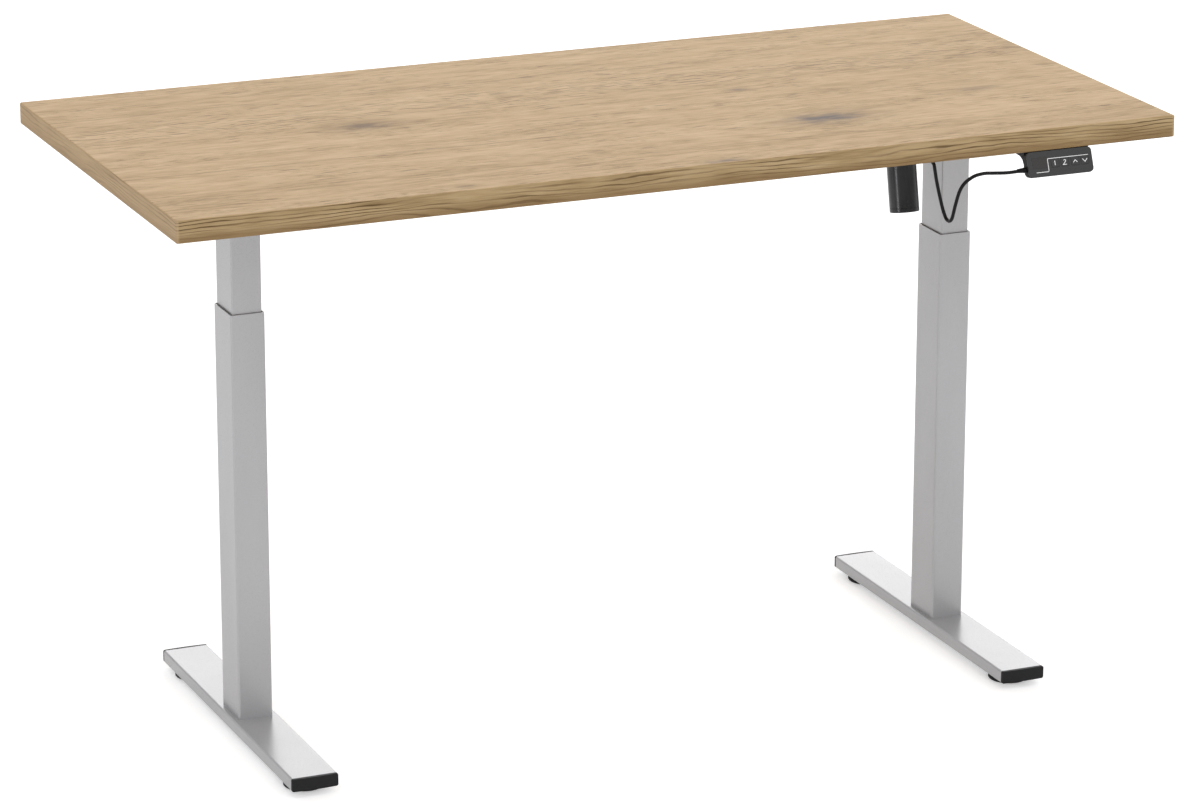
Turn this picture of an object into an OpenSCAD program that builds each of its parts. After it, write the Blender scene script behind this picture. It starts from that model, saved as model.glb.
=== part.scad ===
// Height adjustable standing desk: a two-leg steel frame, one motor, and a wooden desktop.
// +X is the user's right, +Y is the back, +Z is up. The floor is z = 0, and x = y = 0 is
// the middle of the desk's outline. The desk stands at the height of desk_h.

/* [Desktop] */
// Width of the desktop, left to right
top_w = 1600; // [1500:10:1800]
// Depth of the desktop, front to back
top_d = 762; // [740:1:800]
// Thickness of the desktop
top_t = 34; // [28:1:38]
// Radius of the desktop's corners
top_r = 3; // [3:1:20]
// Height of the desktop's upper face at rest
desk_h = 916; // [900:1:930]

/* [Feet] */
// Length of a foot with its end caps
foot_l = 610; // [560:5:660]
// Width of a foot tube
foot_w = 73; // [66:1:76]
// Height of a foot tube
foot_h = 20; // [18:1:24]
// Gap between the floor and a foot
foot_gap = 11; // [11:1:14]
// Radius of a levelling glide
glide_r = 32; // [24:1:33]

/* [Columns] */
// Distance from the desktop's end to a column's centre
col_inset = 210; // [180:5:240]
// Width of the outer column tube
outer_w = 54; // [54:0.5:56]
// Depth of the outer column tube
outer_d = 78; // [77.5:0.5:79.5]
// Length of the outer column tube
outer_l = 642; // [620:1:642]
// Width of the inner column tube
inner_w = 47.4; // [47.2:0.1:47.6]
// Depth of the inner column tube
inner_d = 71.5; // [70.5:0.5:71.5]
// Length of the inner column tube
inner_l = 620; // [600:1:630]

/* [Motor] */
// Diameter of the motor can
motor_d = 47; // [44:1:52]
// Distance from the hexagonal shaft to the motor's lower end
motor_l = 146; // [130:1:155]
// Forward lean of the motor, in degrees
motor_tilt = 11.4; // [8:0.2:14]

/* [Handset] */
// Width of the handset
hs_w = 110; // [106:1:120]
// Height of the handset's front face, along the face
hs_face = 38.6; // [38:0.2:40]
// Distance of the handset's middle from the desktop's right end
hs_inset = 200; // [180:5:240]

/* [Hidden] */
$fn = 64;

// colours
silver = [0.72, 0.73, 0.74];
oak = [0.80, 0.70, 0.56];
black = [0.10, 0.10, 0.11];
dark = [0.22, 0.23, 0.24];
zinc = [0.62, 0.64, 0.66];
cast = [0.55, 0.56, 0.58];
nylon = [0.88, 0.88, 0.84];
board = [0.08, 0.32, 0.18];

// where things are
wall = 1.5;
fit_gap = 0.1;                 // between pieces that are fixed together
run_gap = 0.05;                // between a shaft and the hole it turns in
under_z = desk_h - top_t;      // underside of the desktop
hs_over = 14;                  // how far the handset stands out past the desktop's front edge
desk_y = hs_over / 2;          // middle of the desktop, so the whole outline is centred
col_x = top_w / 2 - col_inset;
col_y = desk_y - 30;
foot_top = foot_gap + foot_h;
outer_top = foot_top + outer_l;
head_z = under_z - 45;         // where the inner column ends and its head begins
inner_z = head_z - inner_l;
drive_y = col_y + 12;          // the spindles and the hexagonal shaft lie in this plane
drive_z = under_z - 26;        // height of the hexagonal shaft

module at_columns() for (s = [-1, 1]) translate([s * col_x, col_y, 0]) children();

module round_rect(w, d, r) {
    square([w - 2 * r, d], center = true);
    square([w, d - 2 * r], center = true);
    for (x = [-1, 1], y = [-1, 1])
        translate([x * (w / 2 - r), y * (d / 2 - r)]) circle(r);
}

module tube_outline(w, d, r, t) {
    difference() {
        round_rect(w, d, r);
        round_rect(w - 2 * t, d - 2 * t, max(r - t, 0.6));
    }
}

module ring(outer, inner, h) {
    difference() {
        cylinder(r = outer, h = h);
        translate([0, 0, -1]) cylinder(r = inner, h = h + 2);
    }
}

// a cap-head bolt that points up, its head's underside at z = 0
module bolt(r, l) {
    cylinder(r = r, h = l);
    translate([0, 0, -1.3 * r]) difference() {
        cylinder(r = 1.7 * r, h = 1.3 * r);
        translate([0, 0, -1]) cylinder(r = 0.95 * r, h = 0.7 * r + 1, $fn = 6);
    }
}

// ---- feet ----
cap_t = 6;
foot_wall = 2;
bolt_x = 15;
bolt_y = 27;
glide_y = foot_l / 2 - 51;

module bolt_places() for (x = [-bolt_x, bolt_x], y = [-bolt_y, bolt_y]) translate([x, y, 0]) children();

module foot(s) {
    color(silver) translate([s * col_x, col_y, 0]) difference() {
        translate([0, 0, foot_gap + foot_h / 2]) rotate([90, 0, 0])
            linear_extrude(foot_l - 2 * cap_t, center = true) tube_outline(foot_w, foot_h, 3, foot_wall);
        bolt_places() {
            translate([0, 0, foot_top - foot_wall - 1]) cylinder(r = 4.2, h = foot_wall + 2);
            translate([0, 0, foot_gap - 1]) cylinder(r = 8, h = foot_wall + 2);
        }
        for (y = [-glide_y, glide_y])
            translate([0, y, foot_gap - 1]) cylinder(r = 4.5, h = foot_wall + 2);
    }
}

module foot_caps() {
    bow_r = 420;
    color(black) at_columns() for (e = [-1, 1]) scale([1, e, 1]) translate([0, foot_l / 2 - cap_t, 0]) {
        intersection() {
            translate([0, cap_t, foot_gap + foot_h / 2]) rotate([90, 0, 0])
                linear_extrude(cap_t) round_rect(foot_w, foot_h, 3);
            translate([0, cap_t - bow_r, foot_gap]) cylinder(r = bow_r, h = foot_h, $fn = 360);
        }
        translate([0, 0, foot_gap + foot_h / 2]) rotate([90, 0, 0]) linear_extrude(14)
            tube_outline(foot_w - 2 * foot_wall - 2 * fit_gap, foot_h - 2 * foot_wall - 2 * fit_gap, 1.2, 2);
    }
}

module glide(s, e) {
    hub_h = foot_gap - 0.4;
    color(black) translate([s * col_x, col_y + e * glide_y, 0]) rotate_extrude()
        polygon([[0, 0], [glide_r - 1.5, 0], [glide_r, 1.5], [glide_r, 5.5], [glide_r - 1.5, 7],
            [9, 7.6], [9, hub_h], [4, hub_h], [4, foot_top - foot_wall - 1], [0, foot_top - foot_wall - 1]]);
}

module glide_nuts() {
    color(zinc) at_columns() for (y = [-glide_y, glide_y])
        translate([0, y, foot_gap + foot_wall]) ring(8, 4 + run_gap, 8);
}

plate_t = 6;
module base_plates() {
    color(silver) at_columns() difference() {
        translate([0, 0, foot_top]) linear_extrude(plate_t)
            round_rect(outer_w - 2 * wall - 2 * fit_gap, outer_d - 2 * wall - 2 * fit_gap, 2);
        bolt_places() translate([0, 0, foot_top - 1]) cylinder(r = 4 + fit_gap, h = plate_t + 2);
    }
}

module foot_bolts() {
    color(zinc) at_columns() bolt_places() translate([0, 0, foot_top - foot_wall]) bolt(4, 14);
}

// ---- fixed half of the columns ----
module outer_column(s) {
    color(silver) translate([s * col_x, col_y, foot_top])
        linear_extrude(outer_l) tube_outline(outer_w, outer_d, 3.5, wall);
}

collar_l = 60;
module guide_collars() {
    color(black) at_columns() translate([0, 0, outer_top - collar_l - 0.5]) linear_extrude(collar_l)
        difference() {
            round_rect(outer_w - 2 * wall - 2 * fit_gap, outer_d - 2 * wall - 2 * fit_gap, 2);
            round_rect(inner_w + 0.8, inner_d + 0.8, 3.4);
        }
}

nut_z = 532;
nut_seat = nut_z + 35;
spindle_r = 8;
module nut_tubes() {
    color(zinc) at_columns() translate([0, drive_y - col_y, foot_top + plate_t])
        ring(15, 13, nut_seat - foot_top - plate_t);
}

module drive_nuts() {
    color(nylon) at_columns() translate([0, drive_y - col_y, nut_z]) difference() {
        union() {
            cylinder(r = 13 - fit_gap, h = nut_seat - nut_z);
            translate([0, 0, nut_seat - nut_z]) cylinder(r = 17, h = 6);
        }
        translate([0, 0, -1]) cylinder(r = spindle_r + run_gap, h = nut_seat - nut_z + 8);
    }
}

// ---- moving half of the columns ----
module inner_column(s) {
    color(silver) translate([s * col_x, col_y, inner_z])
        linear_extrude(inner_l) tube_outline(inner_w, inner_d, 3, wall);
}

pad_t = 1.4;
module slide_pads() {
    color(nylon) at_columns() translate([0, 0, inner_z]) {
        for (x = [-1, 1]) translate([x * (inner_w / 2 + pad_t / 2), 0, 30]) cube([pad_t, 52, 60], center = true);
        for (y = [-1, 1]) translate([0, y * (inner_d / 2 + pad_t / 2), 30]) cube([30, pad_t, 60], center = true);
    }
}

// ---- column heads, which hold the bevel gears ----
head_w = 72;
head_d = 84;
head_h = 41;
head_bolt_x = 24;
head_bolt_z = drive_z + 6;
bearing_z = head_z - 13;
bearing_h = 10;
bush_r = 10;

module head_case(s) {
    screw_x = head_w / 2 - 5;
    screw_y = head_d / 2 - 5;
    color(cast) translate([s * col_x, col_y, 0]) difference() {
        union() {
            translate([0, 0, head_z]) linear_extrude(head_h) round_rect(head_w, head_d, 4);
            translate([0, 0, bearing_z - 9]) linear_extrude(head_z - bearing_z + 9)
                round_rect(inner_w - 2 * wall - 2 * fit_gap, inner_d - 2 * wall - 2 * fit_gap, 1.5);
        }
        translate([-30, drive_y - col_y - 20, head_z + 4]) cube([60, 38, head_h]);
        translate([-30, -30, head_z + 6]) cube([60, 16, head_h]);
        translate([0, drive_y - col_y, bearing_z]) cylinder(r = 16 + fit_gap, h = 20);
        translate([0, drive_y - col_y, bearing_z - 10]) cylinder(r = spindle_r + 1, h = 12);
        translate([-head_w / 2 - 1, drive_y - col_y, drive_z]) rotate([0, 90, 0])
            cylinder(r = bush_r + run_gap, h = head_w + 2);
        for (x = [-head_bolt_x, head_bolt_x], y = [-1, 1])
            translate([x, y * (head_d / 2 - 8.5), head_bolt_z]) rotate([-90 * y, 0, 0])
                cylinder(r = 3 + fit_gap, h = 10);
        for (x = [-screw_x, screw_x], y = [-screw_y, screw_y])
            translate([x, y, head_z + head_h - 12]) cylinder(r = 2 + fit_gap, h = 14);
    }
}

cover_z = head_z + head_h;
module cover_screw() {
    rotate_extrude() polygon([[0, 0], [4, 0], [2, -2], [2, -12], [0, -12]]);
}

module cover_screw_places()
    for (x = [-1, 1], y = [-1, 1]) translate([x * (head_w / 2 - 5), y * (head_d / 2 - 5), 0]) children();

module head_covers() {
    color(cast) at_columns() translate([0, 0, cover_z]) difference() {
        linear_extrude(3) round_rect(head_w, head_d, 4);
        cover_screw_places() rotate_extrude()
            polygon([[0, -1], [2.1, -1], [2.1, 1], [4.1, 3], [4.1, 4], [0, 4]]);
    }
}

module spindle_bearings() {
    color(zinc) at_columns() translate([0, drive_y - col_y, bearing_z]) {
        ring(16, 13, bearing_h);
        ring(9, 6 + run_gap, bearing_h);
        for (i = [0:8]) rotate(i * 40) translate([11, 0, bearing_h / 2]) sphere(r = 1.95, $fn = 24);
    }
}

// ---- spindles and gears ----
// A mitre gear that points up, with its cone's tip at the origin. The teeth stop just
// short of the pitch cone, so a pair of them clears in every position.
mitre_r = 13;
module mitre_gear(bore) {
    tooth_n = 18;
    root = [mitre_r - 1.2, -mitre_r - 1.2];
    inner = 0.6;               // inner end of the teeth, as a share of the outer end
    slant = mitre_r * sqrt(2);
    difference() {
        union() {
            rotate_extrude() polygon([[0, -20], [10, -20], [10, -mitre_r - 2.2], root, root * inner, [0, root[1] * inner]]);
            for (i = [0:tooth_n - 1]) rotate([0, 45, i * 360 / tooth_n])
                translate([slant * inner, -0.8, -2.6]) cube([slant * (1 - inner) - 0.4, 1.6, 2.3]);
        }
        translate([0, 0, -21]) cylinder(r = bore, h = 30);
    }
}

spindle_z = 205;
module spindle(s) {
    color(zinc) translate([s * col_x, drive_y, 0]) {
        translate([0, 0, spindle_z + 1.5]) cylinder(r = spindle_r, h = bearing_z - spindle_z - 2);
        translate([0, 0, spindle_z]) cylinder(r1 = spindle_r - 1.5, r2 = spindle_r, h = 1.5);
        translate([0, 0, bearing_z - 1]) cylinder(r = 6, h = drive_z - mitre_r + 4 - bearing_z);
    }
}

module spindle_gear(s) {
    color(zinc) translate([s * col_x, drive_y, drive_z]) mitre_gear(6);
}

shaft_af = 10;                 // across the hexagon's flats
shaft_r = shaft_af / sqrt(3);
shaft_end = col_x + head_w / 2 + 4;
module hex_rod(af, l) rotate([0, 90, 0]) cylinder(r = af / sqrt(3), h = l, center = true, $fn = 6);

module hex_shaft() {
    color(zinc) translate([0, drive_y, drive_z]) hex_rod(shaft_af, 2 * shaft_end);
}

module shaft_gears() {
    color(zinc) for (s = [-1, 1]) translate([s * col_x, drive_y, drive_z]) difference() {
        rotate([0, 90, 0]) rotate(10) mitre_gear(3);
        hex_rod(shaft_af + 2 * fit_gap, 100);
    }
}

module shaft_bushes() {
    color(black) for (s = [-1, 1], e = [-1, 1])
        translate([s * col_x + e * (head_w / 2 - 3), drive_y, drive_z]) difference() {
            rotate([0, 90, 0]) cylinder(r = bush_r, h = 6, center = true);
            hex_rod(shaft_af + 2 * fit_gap, 10);
        }
}

// ---- rails and arms under the desktop ----
rail_d = 25;
rail_h = 40;
rail_y = head_d / 2 + 0.2 + rail_d / 2;
rail_z = under_z - rail_h / 2;
rail_end = col_x + 50;
rail_gap = 150;
insert_l = 700;
insert_screws = [rail_gap + 30, rail_gap + 170];
arm_w = 40;
arm_h = 20;
arm_l = 600;
arm_t = 2;
arm_bolt_z = under_z - 11;
end_t = 8;                     // end block that is welded into a rail

module rails(s) {
    l = rail_end - rail_gap;
    color(silver) for (e = [-1, 1]) translate([0, col_y + e * rail_y, rail_z]) scale([s, 1, 1]) difference() {
        union() {
            translate([rail_gap, 0, 0]) rotate([90, 0, 90]) linear_extrude(l) tube_outline(rail_d, rail_h, 2, wall);
            translate([rail_end - end_t, 0, 0]) rotate([90, 0, 90])
                linear_extrude(end_t) square([rail_d - 2 * wall, rail_h - 2 * wall], center = true);
        }
        for (x = [-head_bolt_x, head_bolt_x]) translate([col_x + x, 0, head_bolt_z - rail_z])
            rotate([90, 0, 0]) cylinder(r = 3.2, h = rail_d + 2, center = true);
        for (x = insert_screws) translate([x, 0, -rail_h / 2 - 1]) cylinder(r = 3.2, h = 4);
        translate([rail_end - 12, 0, arm_bolt_z - rail_z]) rotate([0, 90, 0]) cylinder(r = 3 + fit_gap, h = 14);
    }
}

module rail_inserts() {
    color(zinc) for (e = [-1, 1]) translate([0, col_y + e * rail_y, rail_z]) difference() {
        rotate([90, 0, 90]) linear_extrude(insert_l, center = true)
            tube_outline(rail_d - 2 * wall - 2 * fit_gap, rail_h - 2 * wall - 2 * fit_gap, 1, 2);
        for (s = [-1, 1], x = insert_screws)
            translate([s * x, 0, -rail_h / 2]) cylinder(r = 3 + fit_gap, h = 6);
    }
}

wood_y = [-280, -170, 170, 280];
module side_arms() {
    color(silver) for (s = [-1, 1]) scale([s, 1, 1]) translate([rail_end, desk_y, under_z - arm_h]) difference() {
        translate([0, -arm_l / 2, 0]) cube([arm_w, arm_l, arm_h]);
        translate([arm_t, -arm_l / 2 - 1, -1]) cube([arm_w - 2 * arm_t, arm_l + 2, arm_h - arm_t + 1]);
        for (y = wood_y) translate([arm_w / 2, y, 0]) cylinder(r = 2.4, h = arm_h + 1);
        for (e = [-1, 1]) translate([-1, col_y - desk_y + e * rail_y, arm_bolt_z - under_z + arm_h])
            rotate([0, 90, 0]) cylinder(r = 3.2, h = arm_t + 2);
    }
}

// every machine screw of the frame: heads to rails, rails to inserts, arms to rails, covers
module frame_bolts() {
    color(zinc) {
        for (s = [-1, 1], x = [-head_bolt_x, head_bolt_x], e = [-1, 1])
            translate([s * col_x + x, col_y + e * (rail_y + rail_d / 2), head_bolt_z])
                rotate([90 * e, 0, 0]) bolt(3, rail_d + 7);
        for (s = [-1, 1], x = insert_screws, e = [-1, 1])
            translate([s * x, col_y + e * rail_y, under_z - rail_h]) bolt(3, 5);
        for (s = [-1, 1], e = [-1, 1])
            translate([s * (rail_end + arm_t), col_y + e * rail_y, arm_bolt_z]) rotate([0, -90 * s, 0]) bolt(3, 11);
        at_columns() cover_screw_places() translate([0, 0, cover_z + 3]) cover_screw();
    }
}

// ---- desktop and the screws that go into it ----
screw_l = 20;
module wood_screw() {
    cylinder(r = 2.2, h = screw_l);
    translate([0, 0, -2.6]) cylinder(r = 4.5, h = 2.6);
}

module wood_screw_places() {
    for (s = [-1, 1], y = wood_y)
        translate([s * (rail_end + arm_w / 2), desk_y + y, under_z - arm_t]) children();
    for (s = [-1, 1], y = [-1, 1])
        translate([box_x + s * (box_w / 2 + 8), box_y + y * 30, under_z - lid_t]) children();
    for (s = [-1, 1]) translate([hs_x + s * 40, hs_screw_y, under_z - 2]) children();
    at_clips() translate([0, clip_screw_y, -3]) children();
}

module wood_screws() {
    color(zinc) wood_screw_places() wood_screw();
}

module desktop() {
    color(oak) difference() {
        translate([0, desk_y, under_z]) linear_extrude(top_t) round_rect(top_w, top_d, top_r);
        wood_screw_places() cylinder(r = 2.2 + fit_gap, h = screw_l + 0.5);
    }
}

// ---- motor, which hangs on the hexagonal shaft beside the right column ----
motor_x = col_x - 89;
worm_gap = 19;                 // from the shaft's axis to the motor's axis
case_w = 44;
case_z = -38;                  // lower face of the gearbox, measured along the motor
wheel_r = 12.2;
wheel_n = 28;

module at_motor() translate([motor_x, drive_y, drive_z]) rotate([-motor_tilt, 0, 0]) children();

module gearbox_outline() {
    circle(18);
    translate([-worm_gap - 15, case_z]) square([30, 50]);
    translate([-worm_gap, -18]) square([20, 30]);
}

module case_screw_places()
    for (p = [[-worm_gap - 11.5, 8], [-worm_gap - 11.5, case_z + 5], [-worm_gap + 11.5, case_z + 5], [9, 12.5]])
        translate([0, p[0], p[1]]) rotate([0, 90, 0]) children();

module motor_gearbox_case() {
    half = case_w / 2;
    color(black) at_motor() difference() {
        union() {
            translate([-half, 0, 0]) rotate([90, 0, 90]) linear_extrude(case_w - 3) gearbox_outline();
            translate([0, -worm_gap, case_z]) cylinder(r = case_w / 2 - 3, h = 4);
        }
        translate([-half + 4, 0, 0]) rotate([0, 90, 0]) cylinder(r = 14, h = case_w);
        translate([-half - 1, 0, 0]) rotate([0, 90, 0]) cylinder(r = 7, h = case_w);
        translate([0, -worm_gap, case_z - 1]) cylinder(r = 7.4, h = 44);
        translate([half - 15, 0, 0]) case_screw_places() cylinder(r = 1.5 + fit_gap, h = 20);
    }
}

module motor_gearbox_cover() {
    color(black) at_motor() difference() {
        translate([case_w / 2 - 3, 0, 0]) rotate([90, 0, 90]) linear_extrude(3) gearbox_outline();
        translate([0, 0, 0]) rotate([0, 90, 0]) cylinder(r = 7, h = case_w);
        case_screw_places() cylinder(r = 1.7, h = case_w);
    }
}

// a folded steel hanger between the two rails, which stops the gearbox from turning
module motor_bracket() {
    span = 2 * (rail_y - rail_d / 2) - 0.4;
    plate_x = motor_x + case_w / 2 + 1;
    color(silver) difference() {
        union() {
            translate([plate_x, col_y - span / 2, under_z - 44]) cube([2.5, span, 42]);
            for (e = [-1, 1]) translate([plate_x, col_y + e * (span / 2 - 1.25) - 1.25, under_z - 38])
                cube([16, 2.5, 34]);
        }
        translate([plate_x - 1, drive_y, drive_z]) rotate([0, 90, 0]) cylinder(r = 9, h = 5);
    }
}

module motor_can() {
    can_l = motor_l + case_z - 7;
    color(black) at_motor() translate([0, -worm_gap, -motor_l + 7]) difference() {
        cylinder(r = motor_d / 2, h = can_l - 0.1);
        translate([0, 0, -1]) cylinder(r = motor_d / 2 - 2, h = can_l - 2);
        translate([0, 0, can_l - 5]) cylinder(r = 8, h = 8);
    }
}

module motor_end_cap() {
    color(black) at_motor() translate([0, -worm_gap, -motor_l]) difference() {
        union() {
            rotate_extrude() polygon([[0, 0], [motor_d / 2 - 1.2, 0], [motor_d / 2 - 0.3, 0.3], [motor_d / 2, 1.2],
                [motor_d / 2, 6.9], [0, 6.9]]);
            cylinder(r = motor_d / 2 - 2 - fit_gap, h = 12);
        }
        translate([0, 0, 5]) cylinder(r = 19, h = 10);
        translate([0, 0, 2.5]) cylinder(r = 2.5 + run_gap, h = 10);
    }
}

// armature, shaft and worm, which turn together
module motor_rotor() {
    color(zinc) at_motor() translate([0, -worm_gap, 0]) {
        translate([0, 0, -motor_l + 3]) cylinder(r = 2.5, h = motor_l + case_z + 10);
        translate([0, 0, -motor_l + 20]) cylinder(r = 19, h = 78);
        translate([0, 0, case_z + 14]) cylinder(r = 6.4, h = 26);
    }
}

module worm_wheel() {
    color(nylon) translate([motor_x, drive_y, drive_z]) rotate([-motor_tilt, 0, 0]) difference() {
        union() {
            rotate([0, 90, 0]) cylinder(r = wheel_r - 1.5, h = 12, center = true);
            for (i = [0:wheel_n - 1]) rotate([(i + 0.3) * 360 / wheel_n, 0, 0]) translate([0, wheel_r - 2, 0])
                cube([11, 4, 1.2], center = true);
        }
        rotate([motor_tilt, 0, 0]) hex_rod(shaft_af + 2 * fit_gap, 100);
    }
}

// ---- control box under the desktop ----
box_x = -345;
box_y = -150;
box_w = 270;
box_d = 100;
box_z = 848;
lid_t = 3;
box_h = under_z - lid_t - box_z;
socket_z = box_z + 18;

module box_end(s) translate([box_x + s * box_w / 2, box_y, socket_z]) scale([s, 1, 1]) children();

module control_box() {
    color(dark) difference() {
        translate([box_x, box_y, box_z]) linear_extrude(box_h) round_rect(box_w, box_d, 6);
        translate([box_x, box_y, box_z + 2]) linear_extrude(box_h) round_rect(box_w - 5, box_d - 5, 4);
        box_end(1) translate([-4, -6.1, -5.1]) cube([6, 12.2, 10.2]);
        box_end(-1) translate([-4, -35, -10]) cube([6, 30, 20]);
        box_end(-1) translate([-4, 9.9, -7.1]) cube([6, 22.2, 14.2]);
    }
}

module control_box_lid() {
    color(dark) difference() {
        translate([box_x, box_y, under_z - lid_t]) linear_extrude(lid_t - 0.1) round_rect(box_w + 32, box_d, 8);
        for (s = [-1, 1], y = [-1, 1])
            translate([box_x + s * (box_w / 2 + 8), box_y + y * 30, under_z - 10]) cylinder(r = 2.4, h = 12);
    }
}

// the mains inlet and the motor's socket, each with its opening
module box_sockets() {
    color(black) box_end(-1) {
        difference() {
            translate([-20, -34.9, -9.9]) cube([20, 29.8, 19.8]);
            translate([-15, -31, -7]) cube([16, 22, 14]);
        }
        difference() {
            translate([-16, 10, -7]) cube([16, 22, 14]);
            translate([-12, 13, -4]) cube([13, 16, 8]);
        }
    }
}

module control_board() {
    color(board) translate([box_x - 115, box_y - 42, box_z + 5]) {
        cube([230, 84, 1.6]);
        for (x = [6, 224], y = [6, 78]) translate([x, y, -3]) cylinder(r = 3, h = 3);
        translate([95, 16, 1.6]) cube([50, 44, 20]);
        for (i = [0:2]) translate([165 + i * 18, 24, 1.6]) cylinder(r = 7, h = 18);
        for (i = [0:3]) translate([80 + i * 22, 68, 1.6]) cube([14, 8, 14]);
    }
}

// ---- handset under the front edge ----
hs_x = top_w / 2 - hs_inset;
hs_lean = asin(hs_over / hs_face);
hs_bottom_y = desk_y - top_d / 2 - hs_over;
hs_bottom_z = under_z - 0.4 - hs_face * cos(hs_lean);
hs_top = under_z - 0.2 - hs_bottom_z;
hs_screw_y = hs_bottom_y + 52;
hs_r = 6;
face_t = 2.5;
key_w = 13;
key_gap = 0.35;
key_u = [-0.08, 0.07, 0.23, 0.38];   // the keys' middles as shares of the width
display_u = -0.31;

// x along the face, y up the face, z out of it; the origin is the middle of its lower edge
module on_face() translate([hs_x, hs_bottom_y, hs_bottom_z]) rotate([90 - hs_lean, 0, 0]) children();

// the housing seen from its end: a slab behind the face, and a flange under the desktop
module hs_side() translate([hs_bottom_y, hs_bottom_z])
    polygon([[0, 0], [4, -1.6], [11, -1.3], [15.5, 1.4], [19.5, 7], [21, 16], [26, 23], [34, 26.5],
        [74, 29.4], [74, hs_top], [hs_over, hs_top]]);

module hs_block() translate([hs_x - hs_w / 2, 0, 0]) rotate([90, 0, 90]) linear_extrude(hs_w) hs_side();

module handset_body() {
    color(dark) difference() {
        union() {
            intersection() {
                hs_block();
                on_face() translate([0, hs_face / 2, -30]) linear_extrude(31) round_rect(hs_w, hs_face, hs_r);
            }
            intersection() {
                hs_block();
                translate([hs_x - hs_w, hs_bottom_y + 22, hs_bottom_z]) cube([2 * hs_w, 80, 60]);
            }
        }
        on_face() translate([2 - hs_w / 2, 0, 0]) rotate([90, 0, 90]) linear_extrude(hs_w - 4)
            polygon([[2.5, -1], [2.5, -7], [5.5, -9.5], [8, -11.8], [33, -11.8], [33, -1]]);
        on_face() translate([0, hs_face / 2, -face_t - 0.05]) linear_extrude(10) square([hs_w + 2, hs_face + 30], center = true);
        for (s = [-1, 1]) translate([hs_x + s * 40, hs_screw_y, under_z - 30]) cylinder(r = 2.4, h = 31);
        for (s = [-1, 1]) translate([hs_x + s * 40, hs_screw_y, under_z - 45]) cylinder(r = 5.5, h = 43);
        translate([cord_exit[0] - 2, cord_exit[1], cord_exit[2]]) rotate([0, 90, 0]) cylinder(r = 3.1, h = 6);
    }
}

module handset_face() {
    color(dark) on_face() difference() {
        translate([0, hs_face / 2 + 0.3, -face_t]) linear_extrude(face_t) round_rect(hs_w, hs_face - 0.6, hs_r);
        for (u = key_u) translate([u * hs_w, hs_face / 2, -face_t - 1]) linear_extrude(face_t + 2)
            round_rect(key_w + 2 * key_gap, key_w + 2 * key_gap, 2.3);
        translate([display_u * hs_w, hs_face / 2 + 2, -1]) linear_extrude(2) round_rect(27, 17, 1.5);
    }
}

module handset_display() {
    color([0.03, 0.03, 0.04]) on_face() translate([display_u * hs_w, hs_face / 2 + 2, -1])
        linear_extrude(1) round_rect(26.8, 16.8, 1.4);
}

module handset_board() {
    color(board) on_face() {
        translate([-46, 6, -7]) cube([92, hs_face - 15, 1.6]);
        for (u = key_u) translate([u * hs_w, hs_face / 2, -5.4]) cylinder(r = 3, h = 0.5);
        translate([display_u * hs_w - 12, hs_face / 2 - 5, -5.4]) cube([24, 14, 2.6]);
    }
}

module key(i) {
    color(dark) on_face() translate([key_u[i] * hs_w, hs_face / 2, -4])
        linear_extrude(4.3) round_rect(key_w, key_w, 2);
}

// ---- handset cord ----
cord_r = 2.75;
cord_exit = [hs_x - hs_w / 2, -376, 855.5];
cord_route = [
    [530, -376, 855], [518, -375.7, 854.5], [506, -374.5, 854.6], [490, -373, 855.6], [477, -371, 856],
    [464, -368.7, 853.6], [455, -366.8, 849], [445.8, -364.6, 841], [439.4, -362.7, 829],
    [434.6, -361.3, 811], [431.9, -359.5, 796], [431, -357, 787.5], [430.8, -352.5, 782.6],
    [430.6, -345.8, 780.6], [430.4, -339, 782.4], [430, -333.8, 787.6], [427.5, -330.6, 799],
    [422.3, -330.4, 819], [417.3, -330.3, 840], [414.4, -329.6, 857], [413, -327.2, 867],
    [407.6, -321.3, 875.2], [396.5, -313.3, 878.7], [379, -303.5, 879], [354, -295, 879],
    [318, -290, 879], [270, -287, 878], [220, -285, 879], [160, -282, 878], [100, -277, 879],
    [40, -268, 879], [-20, -254, 878], [-70, -236, 879], [-112, -208, 878], [-142, -178, 875.5],
    [-161, -157, 870.2], [-176, -151, 867], [-190, -150, 866]];
cord_steps = 2;
cord_sides = 10;
clip_at = [26, 29, 32];         // the points of the route where a clip holds it

// a smooth curve through the route's points, as rings of points
function spline(a, b, c, d, t) = 0.5 * ((2 * b) + (c - a) * t + (2 * a - 5 * b + 4 * c - d) * t * t
    + (3 * b - a - 3 * c + d) * t * t * t);
function pick(p, i) = p[min(max(i, 0), len(p) - 1)];
function smooth(p, n) = concat([for (i = [0:len(p) - 2], j = [0:n - 1])
    spline(pick(p, i - 1), p[i], p[i + 1], pick(p, i + 2), j / n)], [p[len(p) - 1]]);
function unit(v) = v / norm(v);
function heading(p, i) = unit(pick(p, i + 1) - pick(p, i - 1));
// the frame turns with the curve as little as it can
function turned(u, t) = unit(u - (u * t) * t);
function sides(p, i, u) = i >= len(p) ? [] :
    let (v = turned(u, heading(p, i))) concat([v], sides(p, i + 1, v));

module cord_tube(p, r, n) {
    u = sides(p, 0, [0, 0, 1]);
    count = len(p);
    pts = [for (i = [0:count - 1], j = [0:n - 1])
        p[i] + r * (cos(j * 360 / n) * u[i] + sin(j * 360 / n) * cross(heading(p, i), u[i]))];
    walls = [for (i = [0:count - 2], j = [0:n - 1])
        [i * n + j, i * n + (j + 1) % n, (i + 1) * n + (j + 1) % n, (i + 1) * n + j]];
    first = [[for (j = [n - 1:-1:0]) j]];
    last = [[for (j = [0:n - 1]) (count - 1) * n + j]];
    polyhedron(points = pts, faces = [for (f = concat(walls, first, last)) [for (k = [len(f) - 1:-1:0]) f[k]]]);
}

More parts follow.
